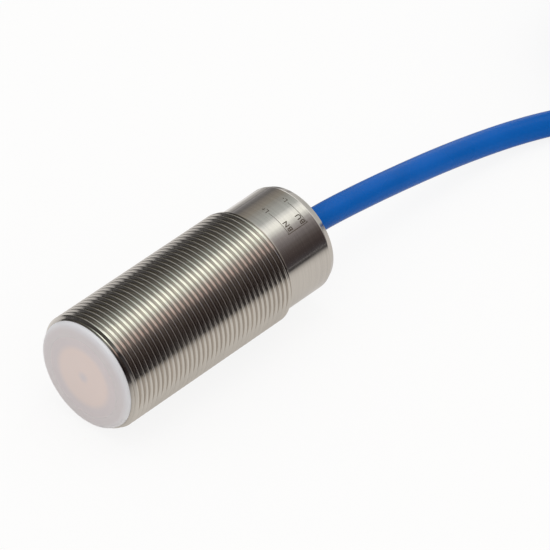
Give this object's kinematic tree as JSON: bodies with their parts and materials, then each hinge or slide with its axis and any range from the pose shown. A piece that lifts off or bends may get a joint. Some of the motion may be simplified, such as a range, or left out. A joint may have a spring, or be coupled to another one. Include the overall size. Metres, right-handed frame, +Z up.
{
  "type": "capacitive proximity sensor",
  "caption": "Threaded cylindrical capacitive sensor with a translucent sensing cap in front, a smooth rear collar and a moulded cable that leaves the rear centre",
  "frame": {"origin": "On the surface the sensor lies on, under the middle of its length", "axes": "+Y along the sensor's axis from the sensing face to the cable exit, +X across it, +Z up; the sensor rests on its thread crests"},
  "size_m": [0.0586, 0.2882, 0.03],
  "materials": {
    "steel": "turned stainless steel, fine bright machining",
    "clear_plastic": "milky translucent, smooth",
    "seal": "black rubber",
    "copper": "bare copper",
    "tin": "tinned",
    "board": "glass fibre board with green mask",
    "light_plastic": "natural moulding",
    "sheet_brass": "plain sheet",
    "chip_plastic": "moulded black",
    "trimmer_plastic": "moulded blue",
    "ferrite": "sintered grey",
    "can": "sleeved can",
    "ceramic": "fired ceramic",
    "resin": "cast resin",
    "dark_plastic": "fine grained moulding",
    "brown_insulation": "smooth insulation",
    "blue_insulation": "smooth insulation",
    "jacket": "satin blue jacket",
    "tie_nylon": "natural nylon"
  },
  "bodies": {
    "root": {"sleeve": "steel", "sensing_cap": "clear_plastic", "cap_seal": "seal", "sensing_electrode": "copper", "guard_ring": "tin", "electrode_board": "board", "centre_pin": "tin", "guard_pins": "tin", "board_holder": "light_plastic", "shield_sleeve": "sheet_brass", "circuit_board": "board", "oscillator_chip": "chip_plastic", "trigger_chip": "chip_plastic", "output_transistor": "chip_plastic", "trimmer_body": "trimmer_plastic", "trimmer_rotor": "light_plastic", "choke_core": "ferrite", "choke_winding": "copper", "filter_capacitor": "can", "chip_capacitors": "ceramic", "chip_resistors": "chip_plastic", "protection_diodes": "chip_plastic", "potting": "resin", "rear_cap": "dark_plastic", "rear_seal": "seal", "cable_grommet": "seal", "clamp_ring": "sheet_brass", "brown_core": "brown_insulation", "blue_core": "blue_insulation", "cable_inner_end": "jacket", "cable": "jacket", "cable_hank": "jacket", "hank_ties": "tie_nylon", "brown_core_end": "brown_insulation", "blue_core_end": "blue_insulation"}
  },
  "joints": []
}
